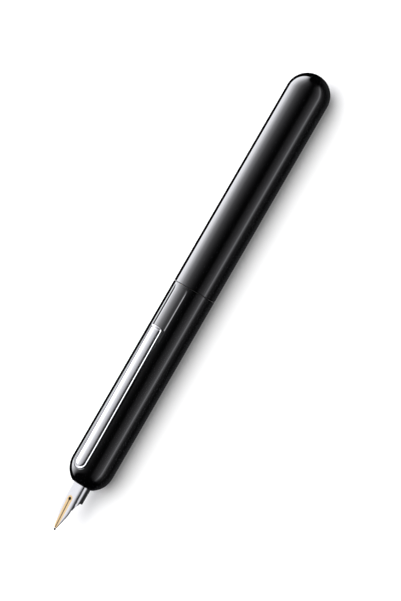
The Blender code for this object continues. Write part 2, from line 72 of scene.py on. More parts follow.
# The channel and the clip in it
CHANNEL_START = 4.0 * MM
CHANNEL_END = 65.5 * MM
CHANNEL_HALF_WIDTH = 2.39 * MM
CHANNEL_FLOOR = 5.8 * MM
CHANNEL_REAR_FLOOR = 6.6 * MM
CHANNEL_RISE_START = 31.0 * MM
CHANNEL_RISE_END = 50.0 * MM
CHANNEL_END_LIFT = 0.18 * MM
CHANNEL_END_LIFT_LENGTH = 1.2 * MM
CHANNEL_NEAR_EDGE = 0.36 * MM
CHANNEL_NEAR_FLARE = 0.02 * MM
CHANNEL_FAR_EDGE = 0.06 * MM
EDGE_SLOPE = math.radians(37)
CHANNEL_FAR_UNDERCUT = 0.28 * MM
CHANNEL_CORNER = 0.35 * MM
FLOOR_FILLET = 0.06 * MM
EDGE_STEPS = 8
FILLET_STEPS = 3
CLIP_LOW, CLIP_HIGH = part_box("clip")
CLIP_START = CLIP_LOW[0] - FRONT_X
CLIP_END = CLIP_HIGH[0] - FRONT_X
CLIP_HALF_WIDTH = CLIP_HIGH[1]
CLIP_END_HALF_WIDTH = 1.95 * MM
CLIP_HINGE_STATION = 12.8 * MM
CLIP_UNDERSIDE = 6.2 * MM
CLIP_END_UNDERSIDE = 6.85 * MM
CLIP_END_RISE = 0.6 * MM
CLIP_CORNER = 0.4 * MM
CLIP_UNDER_EDGE = 0.08 * MM
LUG_HALF_LENGTH = 0.6 * MM
LUG_HALF_WIDTH = 0.7 * MM
LUG_BOTTOM = 4.15 * MM
LUG_TOP = 6.4 * MM
LUG_SLOT_HALF_LENGTH = 0.9 * MM
LUG_SLOT_HALF_WIDTH = 0.85 * MM
LUG_SLOT_BOTTOM = 4.8 * MM
LUG_SLOT_TOP = 6.3 * MM

# The nib unit
NIB_REACH = FRONT_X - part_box("nib_tip")[0][0]
NIB_CROWN = 2.05 * MM
NIB_TIP_HEIGHT = 1.06 * MM
NIB_ARCH = 0.16 * MM
NIB_THICKNESS = 0.25 * MM
NIB_HALF_WIDTH = 2.45 * MM
NIB_BEND = 10
NIB_LEVEL_UNTIL = -4.0 * MM
NIB_TIP_END = -14.75 * MM
NIB_REAR_END = 9.0 * MM
NIB_TIP_HALF_WIDTH = 0.22 * MM
HOLE_STATION = -5.06 * MM
HOLE_RADIUS = 0.52 * MM
SLIT_TIP_HALF_WIDTH = 0.04 * MM
SLIT_HOLE_HALF_WIDTH = 0.12 * MM
GOLD_HALF_WIDTH = 1.02 * MM
GOLD_NARROWING = 0.035  # lost from the half-width for each unit of length ahead of the hole
GOLD_BLUR = 0.05 * MM
# Painted shade: half-widths of the dark brown line painted along the nib's slit, which stands in for the
# slit's shade
SLIT_SHADE_INSIDE = 0.1 * MM
SLIT_SHADE_OUTSIDE = 0.2 * MM
SLEEVE_RADIUS = 2.88 * MM
SLEEVE_INSIDE = 2.6 * MM
SLEEVE_TOP = 1.5 * MM
SLEEVE_SHOULDER = 0.42 * MM
SLEEVE_LEAN = math.radians(22)
SLEEVE_FLAT = -2.1 * MM
SLEEVE_INNER_FLAT = -1.85 * MM
SLEEVE_LIP = -4.95 * MM
SLEEVE_FLANK_REACH = 2.9 * MM
SLEEVE_FLANK_START = 0.2 * MM

# Camera: it looks across the pen from above, and the pen leans 30 degrees to the right
VIEW_ELEVATION = math.radians(52)
VIEW_LEAN = math.radians(30.03)
FRAME_HEIGHT = 177.84 * MM
CAMERA_LENS = 200.0
SENSOR = 36.0
TARGET_STATION = 64.9 * MM
TARGET_ACROSS = 2.95 * MM

# How the studio panels fade out towards the pen's two ends, as slopes along the pen
PANEL_FRONT_FADE = (-0.1, -1.25)
PANEL_REAR_FADE = (0.9, 2.7)


# ---------------------------------------------------------------- geometry helpers


def place(station, y, height):
    return Vector((FRONT_X + station, y, AXIS_Z + height))


def on_round(station, radius, angle):
    """A point at an angle from the top, turning towards +Y."""
    return place(station, radius * math.sin(angle), radius * math.cos(angle))


def in_mm(points):
    return [(first * MM, second * MM) for first, second in points]


def grid(mesh, rows, wrap=False):
    """Fills the space between rows of points with faces."""
    made = [[mesh.verts.new(spot) for spot in row] for row in rows]
    for row, following in zip(made, made[1:]):
        last = len(row) if wrap else len(row) - 1
        for index in range(last):
            after = (index + 1) % len(row)
            mesh.faces.new((row[index], row[after], following[after], following[index]))


def cap(mesh, rows):
    """Closes the two ends of a wrapped grid with a face each."""
    for row in (rows[0], rows[-1]):
        mesh.faces.new([mesh.verts.new(spot) for spot in row])


def piece(name, mesh, material, nodes, body, sharp=40, weld=1e-7):
    """Makes a smooth closed object that stands for CAD nodes and rides on their body."""
    bmesh.ops.remove_doubles(mesh, verts=mesh.verts, dist=weld)
    bmesh.ops.dissolve_degenerate(mesh, edges=mesh.edges, dist=weld / 10)
    bmesh.ops.recalc_face_normals(mesh, faces=mesh.faces)
    if mesh.calc_volume(signed=True) < 0:
        bmesh.ops.reverse_faces(mesh, faces=mesh.faces)
    data = bpy.data.meshes.new(name)
    mesh.to_mesh(data)
    mesh.free()
    obj = bpy.data.objects.new(name, data)
    bpy.context.scene.collection.objects.link(obj)
    data.materials.append(material)
    smooth(obj, sharp)
    if nodes:
        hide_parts(*nodes)
        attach(obj, body)
    return obj


def smooth(obj, sharp):
    obj.data.shade_smooth()
    obj.data.set_sharp_from_angle(angle=math.radians(sharp))


def carve(obj, cutter, sharp=40):
    """Cuts a closed cutter out of a piece for good, and removes the cutter."""
    modifier = obj.modifiers.new("carve", "BOOLEAN")
    modifier.operation = "DIFFERENCE"
    modifier.solver = "EXACT"
    modifier.object = cutter
    graph = bpy.context.evaluated_depsgraph_get()
    carved = bpy.data.meshes.new_from_object(obj.evaluated_get(graph))
    obj.modifiers.clear()
    obj.data = carved
    bpy.data.objects.remove(cutter)
    smooth(obj, sharp)


def cutter_of(mesh):
    return piece("cutter", mesh, None, None, None)


def rounded(outline, radius, steps=4):
    """Rounds the corners of an open (station, radius) outline with small arcs."""
    points = [Vector(spot) for spot in outline]
    result = [points[0]]
    for before, corner, after in zip(points, points[1:], points[2:]):
        into = (before - corner).normalized()
        out_of = (after - corner).normalized()
        half = math.acos(max(-1, min(1, into.dot(out_of)))) / 2
        shorter_side = min((before - corner).length, (after - corner).length)
        reach = min(radius / max(math.tan(half), 1e-6), shorter_side / 2.2)
        if math.pi / 2 - half < math.radians(4):
            result.append(corner)
            continue
        start, end = corner + into * reach, corner + out_of * reach
        for step in range(steps + 1):
            share = step / steps
            result.append(start * (1 - share) ** 2 + corner * 2 * share * (1 - share) + end * share**2)
    result.append(points[-1])
    return result


def ring_row(station, radius, segments):
    return [on_round(station, radius, TAU * (index + 0.5) / segments) for index in range(segments)]


def turned(name, outline, material, nodes, body, segments=96, edge=0.08 * MM, closed=True):
    """Turns an outline of (station, radius) points round the pen's axis, with softened corners."""
    if closed:
        middle = tuple((a + b) / 2 for a, b in zip(outline[0], outline[-1]))
        outline = [middle] + list(outline) + [middle]
    spots = rounded(outline, edge)
    mesh = bmesh.new()
    grid(mesh, [ring_row(station, radius, segments) for station, radius in spots], wrap=True)
    return piece(name, mesh, material, nodes, body)


def barrel_radius(station):
    """Outside radius of the barrel: both ends are round."""
    front_centre = FRONT_DOME_LENGTH * math.sqrt(1 - (MOUTH_RADIUS / RADIUS) ** 2)
    if station < front_centre:
        return RADIUS * math.sqrt(max(0, 1 - ((front_centre - station) / FRONT_DOME_LENGTH) ** 2))
    rear_centre = BARREL_END - RADIUS
    if station > rear_centre:
        return math.sqrt(max(0, RADIUS**2 - (station - rear_centre) ** 2))
    return RADIUS


def ramp(station, start, end, first, last):
    share = min(max((station - start) / (end - start), 0), 1)
    return first + (last - first) * share


def channel_floor(station):
    rear_lift = ramp(station, CHANNEL_END - CHANNEL_END_LIFT_LENGTH, CHANNEL_END, 0, CHANNEL_END_LIFT)
    return ramp(station, CHANNEL_RISE_START, CHANNEL_RISE_END, CHANNEL_FLOOR, CHANNEL_REAR_FLOOR) + rear_lift


def clip_underside(station):
    return ramp(station, CLIP_HINGE_STATION, CLIP_END, CLIP_UNDERSIDE, CLIP_END_UNDERSIDE)


def clip_top(station):
    return barrel_radius(station) + ramp(station, CLIP_HINGE_STATION, CLIP_END, 0, CLIP_END_RISE)


# ---------------------------------------------------------------- long strips: the channel and the clip

STRIP_COLUMNS = 12
CORNER_STEPS = 6
SIDE_STEPS = 60
ROUND_STEPS = 22


def strip_outline(start, end, half_width, end_half_width, corner, offset):
    """Half of a strip's outline, (station, y), from the middle of its square rear end to its round front.

    A positive offset widens it. The order and number of points never change, so outlines can be joined.
    """
    corner_radius = max(corner + offset, 0.02 * MM)
    rear, wide = end + offset, end_half_width + offset
    front_radius = half_width + offset
    front_centre = start + half_width
    outline = []
    for step in range(STRIP_COLUMNS // 2 + 1):
        outline.append((rear, (wide - corner_radius) * 2 * step / STRIP_COLUMNS))
    for step in range(1, CORNER_STEPS + 1):
        angle = math.pi / 2 * step / CORNER_STEPS
        along = rear - corner_radius * (1 - math.cos(angle))
        outline.append((along, wide - corner_radius * (1 - math.sin(angle))))
    side_start = rear - corner_radius
    for step in range(1, SIDE_STEPS + 1):
        share = step / SIDE_STEPS
        y = wide + (front_radius - wide) * share
        outline.append((side_start + (front_centre - side_start) * share, y))
    for step in range(1, ROUND_STEPS + 1):
        angle = math.pi / 2 * step / ROUND_STEPS
        outline.append((front_centre - front_radius * math.sin(angle), front_radius * math.cos(angle)))
    return outline


def full_loop(half):
    """Both halves of an outline, starting and ending at the middle of the rear end."""
    return half + [(station, -y) for station, y in half[-2::-1]]


def loop_row(half, radius_at):
    row = []
    for station, y in full_loop(half):
        radius = radius_at(station)
        row.append(place(station, y, math.sqrt(radius**2 - y**2)))
    return row


def across_rows(half, radius_at):
    """Rows that span a strip from side to side, starting with its rear end."""
    rows = []
    for station, y in half[STRIP_COLUMNS // 2 :]:
        radius = radius_at(station)
        row = []
        for column in range(STRIP_COLUMNS + 1):
            side = y * (1 - 2 * column / STRIP_COLUMNS)
            row.append(place(station, side, math.sqrt(radius**2 - side**2)))
        rows.append(row)
    return rows


# ---------------------------------------------------------------- materials


def new_material(name):
    material = bpy.data.materials.new(name)
    material.use_nodes = True
    return material, material.node_tree.nodes, material.node_tree.links


def texture_space(nodes, links, scale):
    """Object coordinates, in metres, stretched by a scale for each axis."""
    coordinates = nodes.new("ShaderNodeTexCoord")
    mapping = nodes.new("ShaderNodeMapping")
    mapping.inputs["Scale"].default_value = scale
    links.new(coordinates.outputs["Object"], mapping.inputs["Vector"])
    return mapping.outputs["Vector"]


def noise(nodes, links, vector, scale, detail=2.0):
    texture = nodes.new("ShaderNodeTexNoise")
    texture.inputs["Scale"].default_value = scale
    texture.inputs["Detail"].default_value = detail
    links.new(vector, texture.inputs["Vector"])
    return texture.outputs["Fac"]


def spread(nodes, links, value, low, high):
    """Maps a noise value to a range."""
    node = nodes.new("ShaderNodeMapRange")
    node.inputs["From Min"].default_value = 0.3
    node.inputs["From Max"].default_value = 0.7
    node.inputs["To Min"].default_value = low
    node.inputs["To Max"].default_value = high
    links.new(value, node.inputs["Value"])
    return node.outputs["Result"]


def bump(nodes, links, height, strength, distance):
    node = nodes.new("ShaderNodeBump")
    node.inputs["Strength"].default_value = strength
    node.inputs["Distance"].default_value = distance
    links.new(height, node.inputs["Height"])
    return node.outputs["Normal"]


def tint(nodes, links, value, dark, light):
    """A colour that varies between two with a noise value."""
    node = nodes.new("ShaderNodeMix")
    node.data_type = "RGBA"
    node.inputs["A"].default_value = (*dark, 1)
    node.inputs["B"].default_value = (*light, 1)
    links.new(value, node.inputs["Factor"])
    return node.outputs["Result"]


def lacquer_material():
    """Deep black lacquer, polished, with a trace of orange peel and of fine wiping marks."""
    material, nodes, links = new_material("black lacquer")
    shader = nodes["Principled BSDF"]
    even = texture_space(nodes, links, (1, 1, 1))
    cloud = noise(nodes, links, even, 160)
    black = tint(nodes, links, cloud, (0.0012, 0.0012, 0.0014), (0.002, 0.002, 0.0022))
    links.new(black, shader.inputs["Base Color"])
    wiping = noise(nodes, links, even, 900, 4)
    links.new(spread(nodes, links, wiping, 0.035, 0.06), shader.inputs["Roughness"])
    peel = noise(nodes, links, even, 420)
    links.new(bump(nodes, links, peel, 0.04, 0.00002), shader.inputs["Normal"])
    shader.inputs["IOR"].default_value = 1.8
    shader.inputs["Coat Weight"].default_value = 1.0
    shader.inputs["Coat Roughness"].default_value = 0.02
    shader.inputs["Coat IOR"].default_value = 1.8
    return material


def plated_material(name, colour, roughness=(0.1, 0.16), brush=(30, 5200, 5200), depth=0.06):
    """Polished plating with very fine marks along the pen."""
    material, nodes, links = new_material(name)
    shader = nodes["Principled BSDF"]
    lengthwise = texture_space(nodes, links, brush)
    marks = noise(nodes, links, lengthwise, 1.0, 3)
    dark = tuple(0.94 * value for value in colour)
    links.new(tint(nodes, links, marks, dark, colour), shader.inputs["Base Color"])
    links.new(spread(nodes, links, marks, *roughness), shader.inputs["Roughness"])
    links.new(bump(nodes, links, marks, depth, 0.00001), shader.inputs["Normal"])
    shader.inputs["Metallic"].default_value = 1.0
    return material


def turned_metal_material(name, colour, roughness=(0.2, 0.32)):
    """Lathe-turned metal: fine rings round the axis."""
    return plated_material(name, colour, roughness, (7000, 300, 300), 0.12)


def maths(nodes, links, operation, first, second=None):
    """A math node; numbers set its sockets and outputs are linked to them."""
    node = nodes.new("ShaderNodeMath")
    node.operation = operation
    for socket, value in zip(node.inputs, (first, second)):
        if isinstance(value, float):
            socket.default_value = value
        elif value is not None:
            links.new(value, socket)
    return node.outputs["Value"]


def smooth_step(nodes, links, value, start, end, first=0.0, last=1.0):
    node = nodes.new("ShaderNodeMapRange")
    node.interpolation_type = "SMOOTHSTEP"
    node.inputs["From Min"].default_value = start
    node.inputs["From Max"].default_value = end
    node.inputs["To Min"].default_value = first
    node.inputs["To Max"].default_value = last
    links.new(value, node.inputs["Value"])
    return node.outputs["Result"]


def nib_material():
    """Silver-plated nib: a band of bare gold round the hole and the slit, and painted shade along the slit.
    """
    material, nodes, links = new_material("two-tone nib")
    shader = nodes["Principled BSDF"]
    coordinates = nodes.new("ShaderNodeTexCoord")
    parts = nodes.new("ShaderNodeSeparateXYZ")
    links.new(coordinates.outputs["Object"], parts.inputs["Vector"])

    def calc(operation, first, second=None):
        return maths(nodes, links, operation, first, second)

    side = parts.outputs["Y"]
    behind_hole = calc("SUBTRACT", parts.outputs["X"], FRONT_X + HOLE_STATION)
    past_start = calc("MAXIMUM", behind_hole, 0.0)
    narrowing = calc("MULTIPLY", calc("MINIMUM", behind_hole, 0.0), GOLD_NARROWING)
    squares = calc("ADD", calc("MULTIPLY", past_start, past_start), calc("MULTIPLY", side, side))
    from_line = calc("SQRT", squares)
    distance = calc("SUBTRACT", from_line, narrowing)
    plated = smooth_step(nodes, links, distance, GOLD_HALF_WIDTH - GOLD_BLUR, GOLD_HALF_WIDTH + GOLD_BLUR)
    colour = tint(nodes, links, plated, (0.66, 0.49, 0.28), (0.62, 0.62, 0.63))
    # Painted shade: a dark brown line from the point back to the hole stands in for the slit's shade
    unshaded = smooth_step(nodes, links, from_line, SLIT_SHADE_INSIDE, SLIT_SHADE_OUTSIDE)
    slit_shaded = tint(nodes, links, unshaded, (0.05, 0.028, 0.018), (1, 1, 1))
    links.new(colour, slit_shaded.node.inputs["B"])
    links.new(slit_shaded, shader.inputs["Base Color"])
    marks = noise(nodes, links, texture_space(nodes, links, (120, 2600, 2600)), 1.0, 3)
    links.new(spread(nodes, links, marks, 0.14, 0.24), shader.inputs["Roughness"])
    links.new(bump(nodes, links, marks, 0.05, 0.00001), shader.inputs["Normal"])
    shader.inputs["Metallic"].default_value = 1.0
    return material


def plastic_material(name, colour, roughness=(0.3, 0.42), grain=0.08):
    material, nodes, links = new_material(name)
    shader = nodes["Principled BSDF"]
    speckle = noise(nodes, links, texture_space(nodes, links, (1, 1, 1)), 2600, 3)
    lighter = tuple(min(1.0, value * 1.3 + 0.004) for value in colour)
    links.new(tint(nodes, links, speckle, colour, lighter), shader.inputs["Base Color"])
    links.new(spread(nodes, links, speckle, *roughness), shader.inputs["Roughness"])
    links.new(bump(nodes, links, speckle, grain, 0.00002), shader.inputs["Normal"])
    return material


def clear_material():
    """Clear moulded plastic of the ink tube."""
    material, nodes, links = new_material("clear plastic")
    shader = nodes["Principled BSDF"]
    haze = noise(nodes, links, texture_space(nodes, links, (1, 1, 1)), 700, 2)
    links.new(spread(nodes, links, haze, 0.03, 0.08), shader.inputs["Roughness"])
    links.new(tint(nodes, links, haze, (0.93, 0.96, 0.97), (0.97, 0.98, 0.98)), shader.inputs["Base Color"])
    shader.inputs["Transmission Weight"].default_value = 1.0
    shader.inputs["IOR"].default_value = 1.49
    return material


# ---------------------------------------------------------------- barrel halves


def chamber_outline():
    """Inside of the front half, from the joint to the mouth: bore, ball-shaped chamber, seal groove."""
    groove_station, groove_inside, groove_outside = 1.8 * MM, 3.5 * MM, 4.25 * MM
    outline = [(SHUTTER_STATION, FRONT_BORE)]
    last = math.acos(math.sqrt(1 - (groove_outside / FRONT_BORE) ** 2))
    for step in range(1, 9):
        angle = math.pi / 2 - (math.pi / 2 - last) * step / 8
        outline.append((SHUTTER_STATION - FRONT_BORE * math.cos(angle), FRONT_BORE * math.sin(angle)))
    outline += [(groove_station, groove_outside), (groove_station, groove_inside)]
    for radius in (groove_inside, MOUTH_RADIUS):
        outline.append((SHUTTER_STATION - math.sqrt(FRONT_BORE**2 - radius**2), radius))
    return outline


def front_shell(material):
    """Front half: the outside flows into the channel's rounded edges, walls and curved floor."""
    mesh = bmesh.new()
    window = math.radians(36)
    window_front = 1.6 * MM
    window_rear = CHANNEL_END + CHANNEL_FAR_EDGE + 0.4 * MM

    def outline(offset):
        width = CHANNEL_HALF_WIDTH
        return strip_outline(CHANNEL_START, CHANNEL_END, width, width, CHANNEL_CORNER, offset)

    def moved(distance_at):
        """The channel's outline with every point moved outwards by a distance that depends on its side."""
        loop = []
        for (s0, y0), (s1, y1) in zip(full_loop(outline(0)), full_loop(outline(MM))):
            share = 0.5 - 0.5 * max(-1, min(1, y0 / CHANNEL_HALF_WIDTH))
            outwards = distance_at(share**2, (1 - share) ** 2) / MM
            loop.append((s0 + (s1 - s0) * outwards, y0 + (y1 - y0) * outwards, share**2))
        return loop

    def edge_size(near):
        return CHANNEL_FAR_EDGE + (CHANNEL_NEAR_EDGE - CHANNEL_FAR_EDGE) * near

    def softened(share):
        """The channel's broken edge at a share of its slope: wide on the near side, crisp on the far side."""
        loop = moved(lambda near, far: CHANNEL_NEAR_FLARE * near + edge_size(near) * (1 - share))
        result = []
        for station, y, near in loop:
            depth = barrel_radius(station) - channel_floor(station) - FLOOR_FILLET
            result.append((station, y, min(edge_size(near) * math.tan(EDGE_SLOPE), depth) * share))
        return result

    edge = outline(0)
    corner_index = STRIP_COLUMNS // 2 + CORNER_STEPS // 2
    front_corner_index = len(edge) - 1 - ROUND_STEPS // 2
    window_half = []
    for index, (station, _) in enumerate(edge):
        if index <= corner_index:
            window_half.append((window_rear, window * index / corner_index))
        elif index < front_corner_index:
            share = (window_rear - station) / (window_rear - edge[front_corner_index][0])
            window_half.append((window_rear + (window_front - window_rear) * share, window))
        else:
            left = (len(edge) - 1 - index) / (len(edge) - 1 - front_corner_index)
            window_half.append((window_front, window * left))
    inner_loop = [(s, math.asin(y / barrel_radius(s))) for s, y, _ in softened(0)]
    steps = 6
    bands = []
    for step in range(steps + 1):
        share = step / steps
        band = []
        for (s0, a0), (s1, a1) in zip(full_loop(window_half), inner_loop):
            station, angle = s0 + (s1 - s0) * share, a0 + (a1 - a0) * share
            band.append(on_round(station, barrel_radius(station), angle))
        bands.append(band)
    grid(mesh, bands)

    loops = []
    for step in range(EDGE_STEPS + 1):
        row = []
        for station, y, drop in softened(step / EDGE_STEPS):
            row.append(place(station, y, math.sqrt((barrel_radius(station) - drop) ** 2 - y**2)))
        loops.append(row)
    for step in range(FILLET_STEPS + 1):
        turn = math.pi / 2 * step / FILLET_STEPS
        inwards = FLOOR_FILLET * (1 - math.cos(turn))
        lift = FLOOR_FILLET * (1 - math.sin(turn))
        floor_loop = moved(lambda near, far: CHANNEL_FAR_UNDERCUT * far - inwards)
        row = []
        for station, y, _ in floor_loop:
            row.append(place(station, y, math.sqrt((channel_floor(station) + lift) ** 2 - y**2)))
        loops.append(row)
    grid(mesh, loops)
    first = STRIP_COLUMNS // 2
    rows = [loops[-1][first::-1] + loops[-1][-2 : -first - 2 : -1]]
    for index in range(first + 1, len(edge)):
        (s0, y0, _), (s1, y1, _) = floor_loop[index], floor_loop[-1 - index]
        row = []
        for column in range(STRIP_COLUMNS + 1):
            share = column / STRIP_COLUMNS
            station, y = s0 + (s1 - s0) * share, y0 + (y1 - y0) * share
            row.append(place(station, y, math.sqrt(channel_floor(station) ** 2 - y**2)))
        rows.append(row)
    grid(mesh, rows)

    side_stations = [s for s, a in window_half[corner_index : front_corner_index + 1]]
    outer_steps = BARREL_SEGMENTS - 40
    outer_angles = [window + (TAU - 2 * window) * i / outer_steps for i in range(outer_steps + 1)]
    grid(mesh, [[on_round(s, barrel_radius(s), a) for a in outer_angles] for s in side_stations])

    rear_angles = [a for s, a in window_half[: corner_index + 1]]
    front_angles = [a for s, a in window_half[front_corner_index:]][::-1]

    def whole_turn(near_angles, station, radius):
        angles = [-a for a in near_angles[:0:-1]] + near_angles[:-1] + outer_angles[:-1]
        return [on_round(station, radius, a) for a in angles]

    front_face = FRONT_END + JOINT_CLOSING
    inner_rows = chamber_outline()
    rear_outline = [(window_rear, RADIUS), (front_face, RADIUS), (front_face, FRONT_BORE), inner_rows[0]]
    rear_rows = rounded(rear_outline, RIM_RADIUS)
    grid(mesh, [whole_turn(rear_angles, s, r) for s, r in rear_rows], wrap=True)
    grid(mesh, [whole_turn(rear_angles, s, r) for s, r in inner_rows], wrap=True)
    lip = 0.25 * MM
    mouth_inside = inner_rows[-1][0]
    rim = [(mouth_inside, MOUTH_RADIUS), (0.0, MOUTH_RADIUS), (lip, barrel_radius(lip))]
    rim = rounded(rim, RIM_RADIUS)
    ahead = [(s, r) for s, r in rim if s < mouth_inside]
    outward = 14
    for step in range(1, outward + 1):
        station = lip + (window_front - lip) * step / outward
        ahead.append((station, barrel_radius(station)))
    grid(mesh, [whole_turn(front_angles, s, r) for s, r in ahead], wrap=True)
    bridge_rows(mesh, whole_turn(rear_angles, *inner_rows[-1]), whole_turn(front_angles, *ahead[0]))
    shell = piece("front_shell", mesh, material, ["front_barrel"], "front")
    slot = bmesh.new()
    block(
        slot,
        CLIP_HINGE_STATION,
        LUG_SLOT_HALF_LENGTH,
        LUG_SLOT_HALF_WIDTH,
        LUG_SLOT_BOTTOM,
        LUG_SLOT_TOP,
    )
    carve(shell, cutter_of(slot))
    return shell


def block(mesh, station, half_length, half_width, low, high):
    """A plain closed block across the pen's middle plane."""
    sections = []
    for end in (station - half_length, station + half_length):
        corners = ((-1, low), (1, low), (1, high), (-1, high))
        sections.append([place(end, sign * half_width, height) for sign, height in corners])
    grid(mesh, sections, wrap=True)
    cap(mesh, sections)


def bridge_rows(mesh, first, second):
    """Joins two whole rings whose points don't line up, with triangles."""
    rows = [[mesh.verts.new(spot) for spot in ring] for ring in (first, second)]
    edges = []
    for row in rows:
        for index in range(len(row)):
            edges.append(mesh.edges.new((row[index], row[(index + 1) % len(row)])))
    bmesh.ops.bridge_loops(mesh, edges=edges)


def rear_shell(material):
    """Rear half: a long cup with a round end, and a seat for the joint washer inside its rim."""
    seat_radius = REAR_BORE + 0.25 * MM
    seat_end = REAR_START + 0.9 * MM
    steps = 40
    centre = BARREL_END - RADIUS
    outside = []
    for step in range(steps + 1):
        angle = math.pi / 2 * step / steps
        outside.append((centre + RADIUS * math.cos(angle), RADIUS * math.sin(angle)))
    inside = []
    for step in range(21):
        angle = math.pi / 2 * (1 - step / 20)
        inside.append((centre + REAR_BORE * math.cos(angle), REAR_BORE * math.sin(angle)))
    rear_face = REAR_START - JOINT_CLOSING
    rim = [outside[-1], (rear_face, RADIUS), (rear_face, seat_radius), (seat_end, seat_radius)]
    rim = rounded(rim + [(seat_end, REAR_BORE), inside[0]], RIM_RADIUS)
    mesh = bmesh.new()
    rows = outside[:-1] + rim[:-1] + inside
    grid(mesh, [ring_row(s, max(r, 0), BARREL_SEGMENTS) for s, r in rows], wrap=True)
    return piece("rear_shell", mesh, material, ["rear_barrel"], "rear")


# ---------------------------------------------------------------- clip


def clip_blade(material):
    """Clip blade: a raised middle in a narrow rim with a groove between, and the lug of its hinge."""

    def outline(offset):
        return strip_outline(
            CLIP_START, CLIP_END, CLIP_HALF_WIDTH, CLIP_END_HALF_WIDTH, CLIP_CORNER, offset
        )

    mesh = bmesh.new()
    loops = []
    bottom = outline(-CLIP_UNDER_EDGE)
    for step in range(FILLET_STEPS + 1):
        turn = math.pi / 2 * step / FILLET_STEPS
        half = outline(-CLIP_UNDER_EDGE * (1 - math.sin(turn)))
        lift = CLIP_UNDER_EDGE * (1 - math.cos(turn))
        loops.append(loop_row(half, lambda s, lift=lift: clip_underside(s) + lift))
    # (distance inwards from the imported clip's side, drop below its top)
    rim = [(-0.34, 0.14), (-0.31, 0.09), (-0.27, 0.07), (0.3, 0.27), (0.33, 0.29)]
    groove = [(0.35, 0.48), (0.47, 0.48)]
    middle = [(0.49, 0.08), (0.52, 0.03), (0.57, 0.005), (0.62, 0.0)]
    for inwards, drop in in_mm(rim + groove + middle):
        half = outline(-inwards)
        loops.append(loop_row(half, lambda s, drop=drop: clip_top(s) - drop))
    grid(mesh, loops)
    grid(mesh, across_rows(bottom, clip_underside))
    grid(mesh, across_rows(half, clip_top))
    block(mesh, CLIP_HINGE_STATION, LUG_HALF_LENGTH, LUG_HALF_WIDTH, LUG_BOTTOM, LUG_TOP)
    return piece("clip_blade", mesh, material, ["clip"], "clip")


# ---------------------------------------------------------------- nib unit


def nib_crown(station):
    if station >= NIB_LEVEL_UNTIL:
        return NIB_CROWN
    share = (NIB_LEVEL_UNTIL - station) / (NIB_LEVEL_UNTIL + NIB_REACH)
    return NIB_CROWN + (NIB_TIP_HEIGHT - NIB_CROWN) * share


def nib_half_width(station):
    """Straight sides, round shoulders and a nearly straight taper to the point."""
    from_tip = station + NIB_REACH
    taper = NIB_TIP_HALF_WIDTH + 0.34 * from_tip + 2.2 * from_tip**2
    softness = 0.25 * MM
    spread_apart = (taper - NIB_HALF_WIDTH) / softness
    if spread_apart > 30:
        return NIB_HALF_WIDTH
    return NIB_HALF_WIDTH - softness * math.log1p(math.exp(-spread_apart))


def nib_plate(material):
    """Arched plate with rounded sides, a breather hole and a slit that narrows to the point."""
    tapering = 60
    length = NIB_LEVEL_UNTIL - NIB_TIP_END
    stations = [NIB_TIP_END + length * step / tapering for step in range(tapering + 1)]
    stations += [-2 * MM, 0, 4 * MM, NIB_REAR_END]
    columns = 36
    mesh = bmesh.new()
    rows = []
    for station in stations:
        half_width = nib_half_width(station)
        side_round = NIB_THICKNESS / 2
        upper, lower, left, right = [], [], [], []
        for column in range(columns + 1):
            y = (half_width - side_round) * (2 * column / columns - 1)
            arch = NIB_ARCH * (y / half_width) ** NIB_BEND * half_width / NIB_HALF_WIDTH
            height = nib_crown(station) - arch
            upper.append(place(station, y, height))
            lower.append(place(station, y, height - NIB_THICKNESS))
        end_height = upper[0][2] - AXIS_Z
        for step in range(1, 6):
            turn = math.pi * step / 6
            y = half_width - side_round + side_round * math.sin(turn)
            height = end_height - side_round + side_round * math.cos(turn)
            right.append(place(station, y, height))
            left.append(place(station, -y, height))
        rows.append(upper + right + lower[::-1] + left[::-1])
    grid(mesh, rows, wrap=True)
    cap(mesh, rows)
    plate = piece("nib_plate", mesh, material, ["nib"], "nib_unit", sharp=50)

    hole = bmesh.new()
    ends = []
    for height in (0.4 * MM, 3.0 * MM):
        spots = []
        for index in range(32):
            turn = TAU * index / 32
            along, y = HOLE_RADIUS * math.cos(turn), HOLE_RADIUS * math.sin(turn)
            spots.append(place(HOLE_STATION + along, y, height))
        ends.append(spots)
    grid(hole, ends, wrap=True)
    cap(hole, ends)
    carve(plate, cutter_of(hole), 50)

    slit = bmesh.new()
    sections = []
    slit_ends = ((-NIB_REACH - 0.1 * MM, SLIT_TIP_HALF_WIDTH), (HOLE_STATION, SLIT_HOLE_HALF_WIDTH))
    for station, half_width in slit_ends:
        corners = ((-1, 0.2 * MM), (1, 0.2 * MM), (1, 2.8 * MM), (-1, 2.8 * MM))
        sections.append([place(station, sign * half_width, height) for sign, height in corners])
    grid(slit, sections, wrap=True)
    cap(slit, sections)
    carve(plate, cutter_of(slit), 50)
    return plate


def writing_ball(material):
    """Hard tip: a ball drawn out a little towards the nib."""
    low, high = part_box("nib_tip")
    centre = [(a + b) / 2 for a, b in zip(low, high)]
    radius = (high[0] - low[0]) / 2
    mesh = bmesh.new()
    bmesh.ops.create_uvsphere(mesh, u_segments=32, v_segments=20, radius=radius)
    for vertex in mesh.verts:
        squeeze = 1 - 0.15 * max(0.0, vertex.co.x / radius)
        vertex.co.y *= squeeze
        vertex.co.z *= 0.92 * squeeze
        vertex.co += Vector(centre)
    return piece("writing_ball", mesh, material, ["nib_tip"], "nib_unit")


